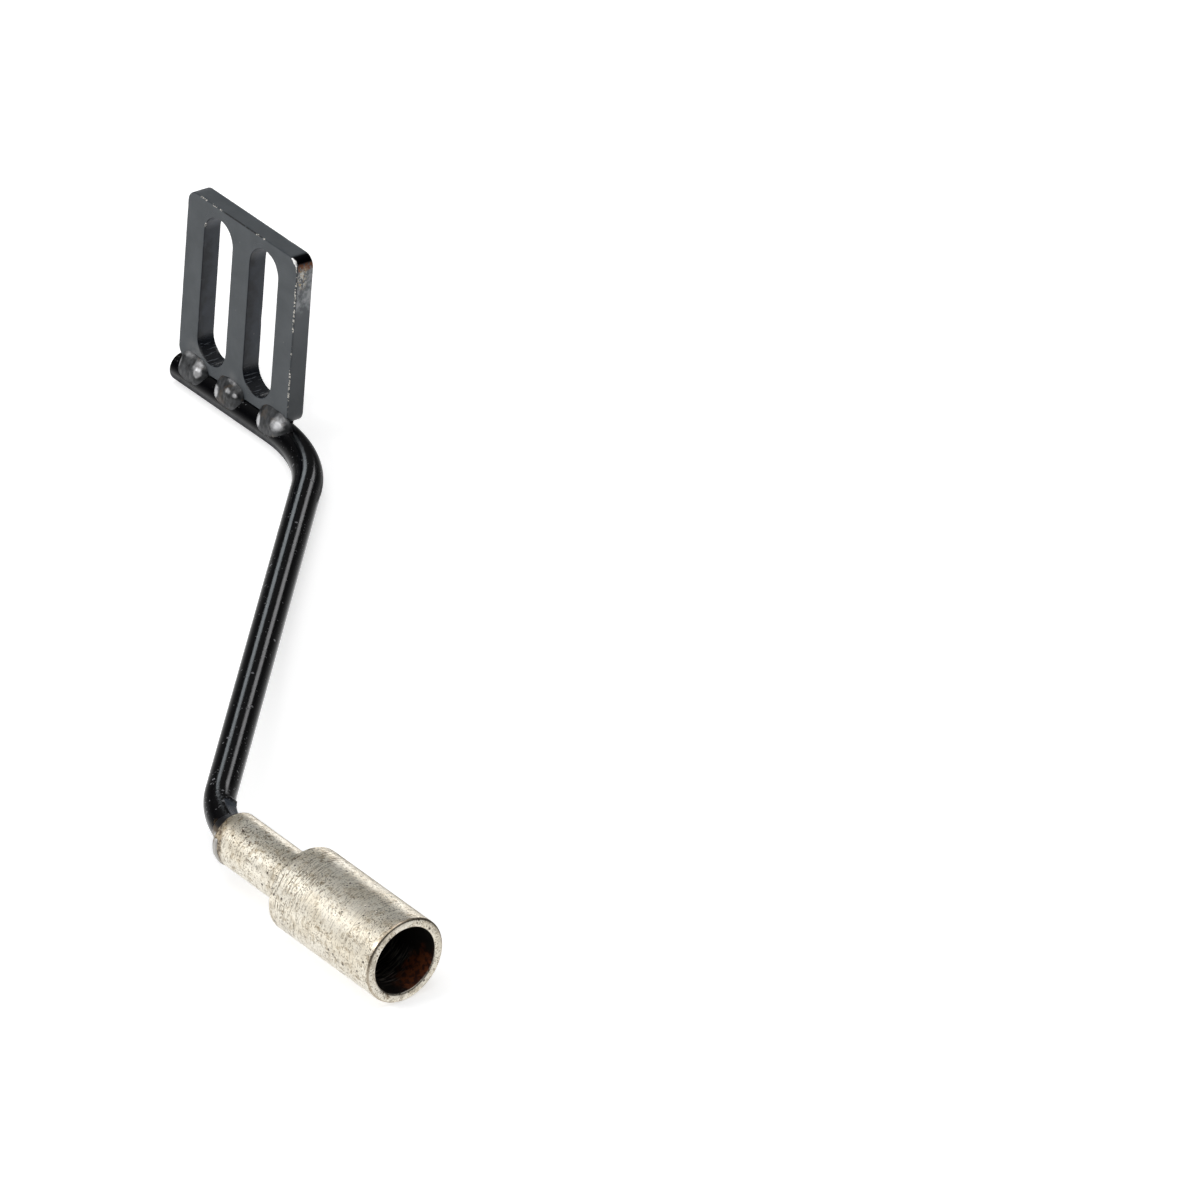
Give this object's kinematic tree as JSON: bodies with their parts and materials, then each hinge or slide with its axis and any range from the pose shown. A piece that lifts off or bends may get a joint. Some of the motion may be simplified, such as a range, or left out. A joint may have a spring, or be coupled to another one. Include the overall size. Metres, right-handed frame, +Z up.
{
  "type": "flame sensor probe holder",
  "caption": "Slotted mounting plate welded to a cranked round rod that ends in a stepped socket with a blind bore for a flame sensor probe.",
  "frame": {"origin": "middle of the two-slot pattern, on the plate face that looks toward the jog (-Y face)", "axes": "+X along the plate's width, from the rod's free end toward the bend, and out of the socket's mouth; +Z up the plate's height, away from the rod; -Y out of the plate face on the side the rod jogs toward"},
  "size_m": [0.1983, 0.1121, 0.0475],
  "materials": {
    "plate_black": "satin",
    "rod_black": "gloss",
    "weld_black": "satin",
    "weld_bare": "satin",
    "socket_plated": "satin"
  },
  "bodies": {
    "root": {"slotted_plate": "plate_black", "bent_rod": "rod_black", "stepped_socket": "socket_plated", "weld_rod_to_socket": "weld_bare", "weld_bead_front_1": "weld_black", "weld_bead_front_2": "weld_black", "weld_bead_front_3": "weld_black", "weld_bead_back_1": "weld_black", "weld_bead_back_2": "weld_black", "weld_bead_back_3": "weld_black"}
  },
  "joints": []
}
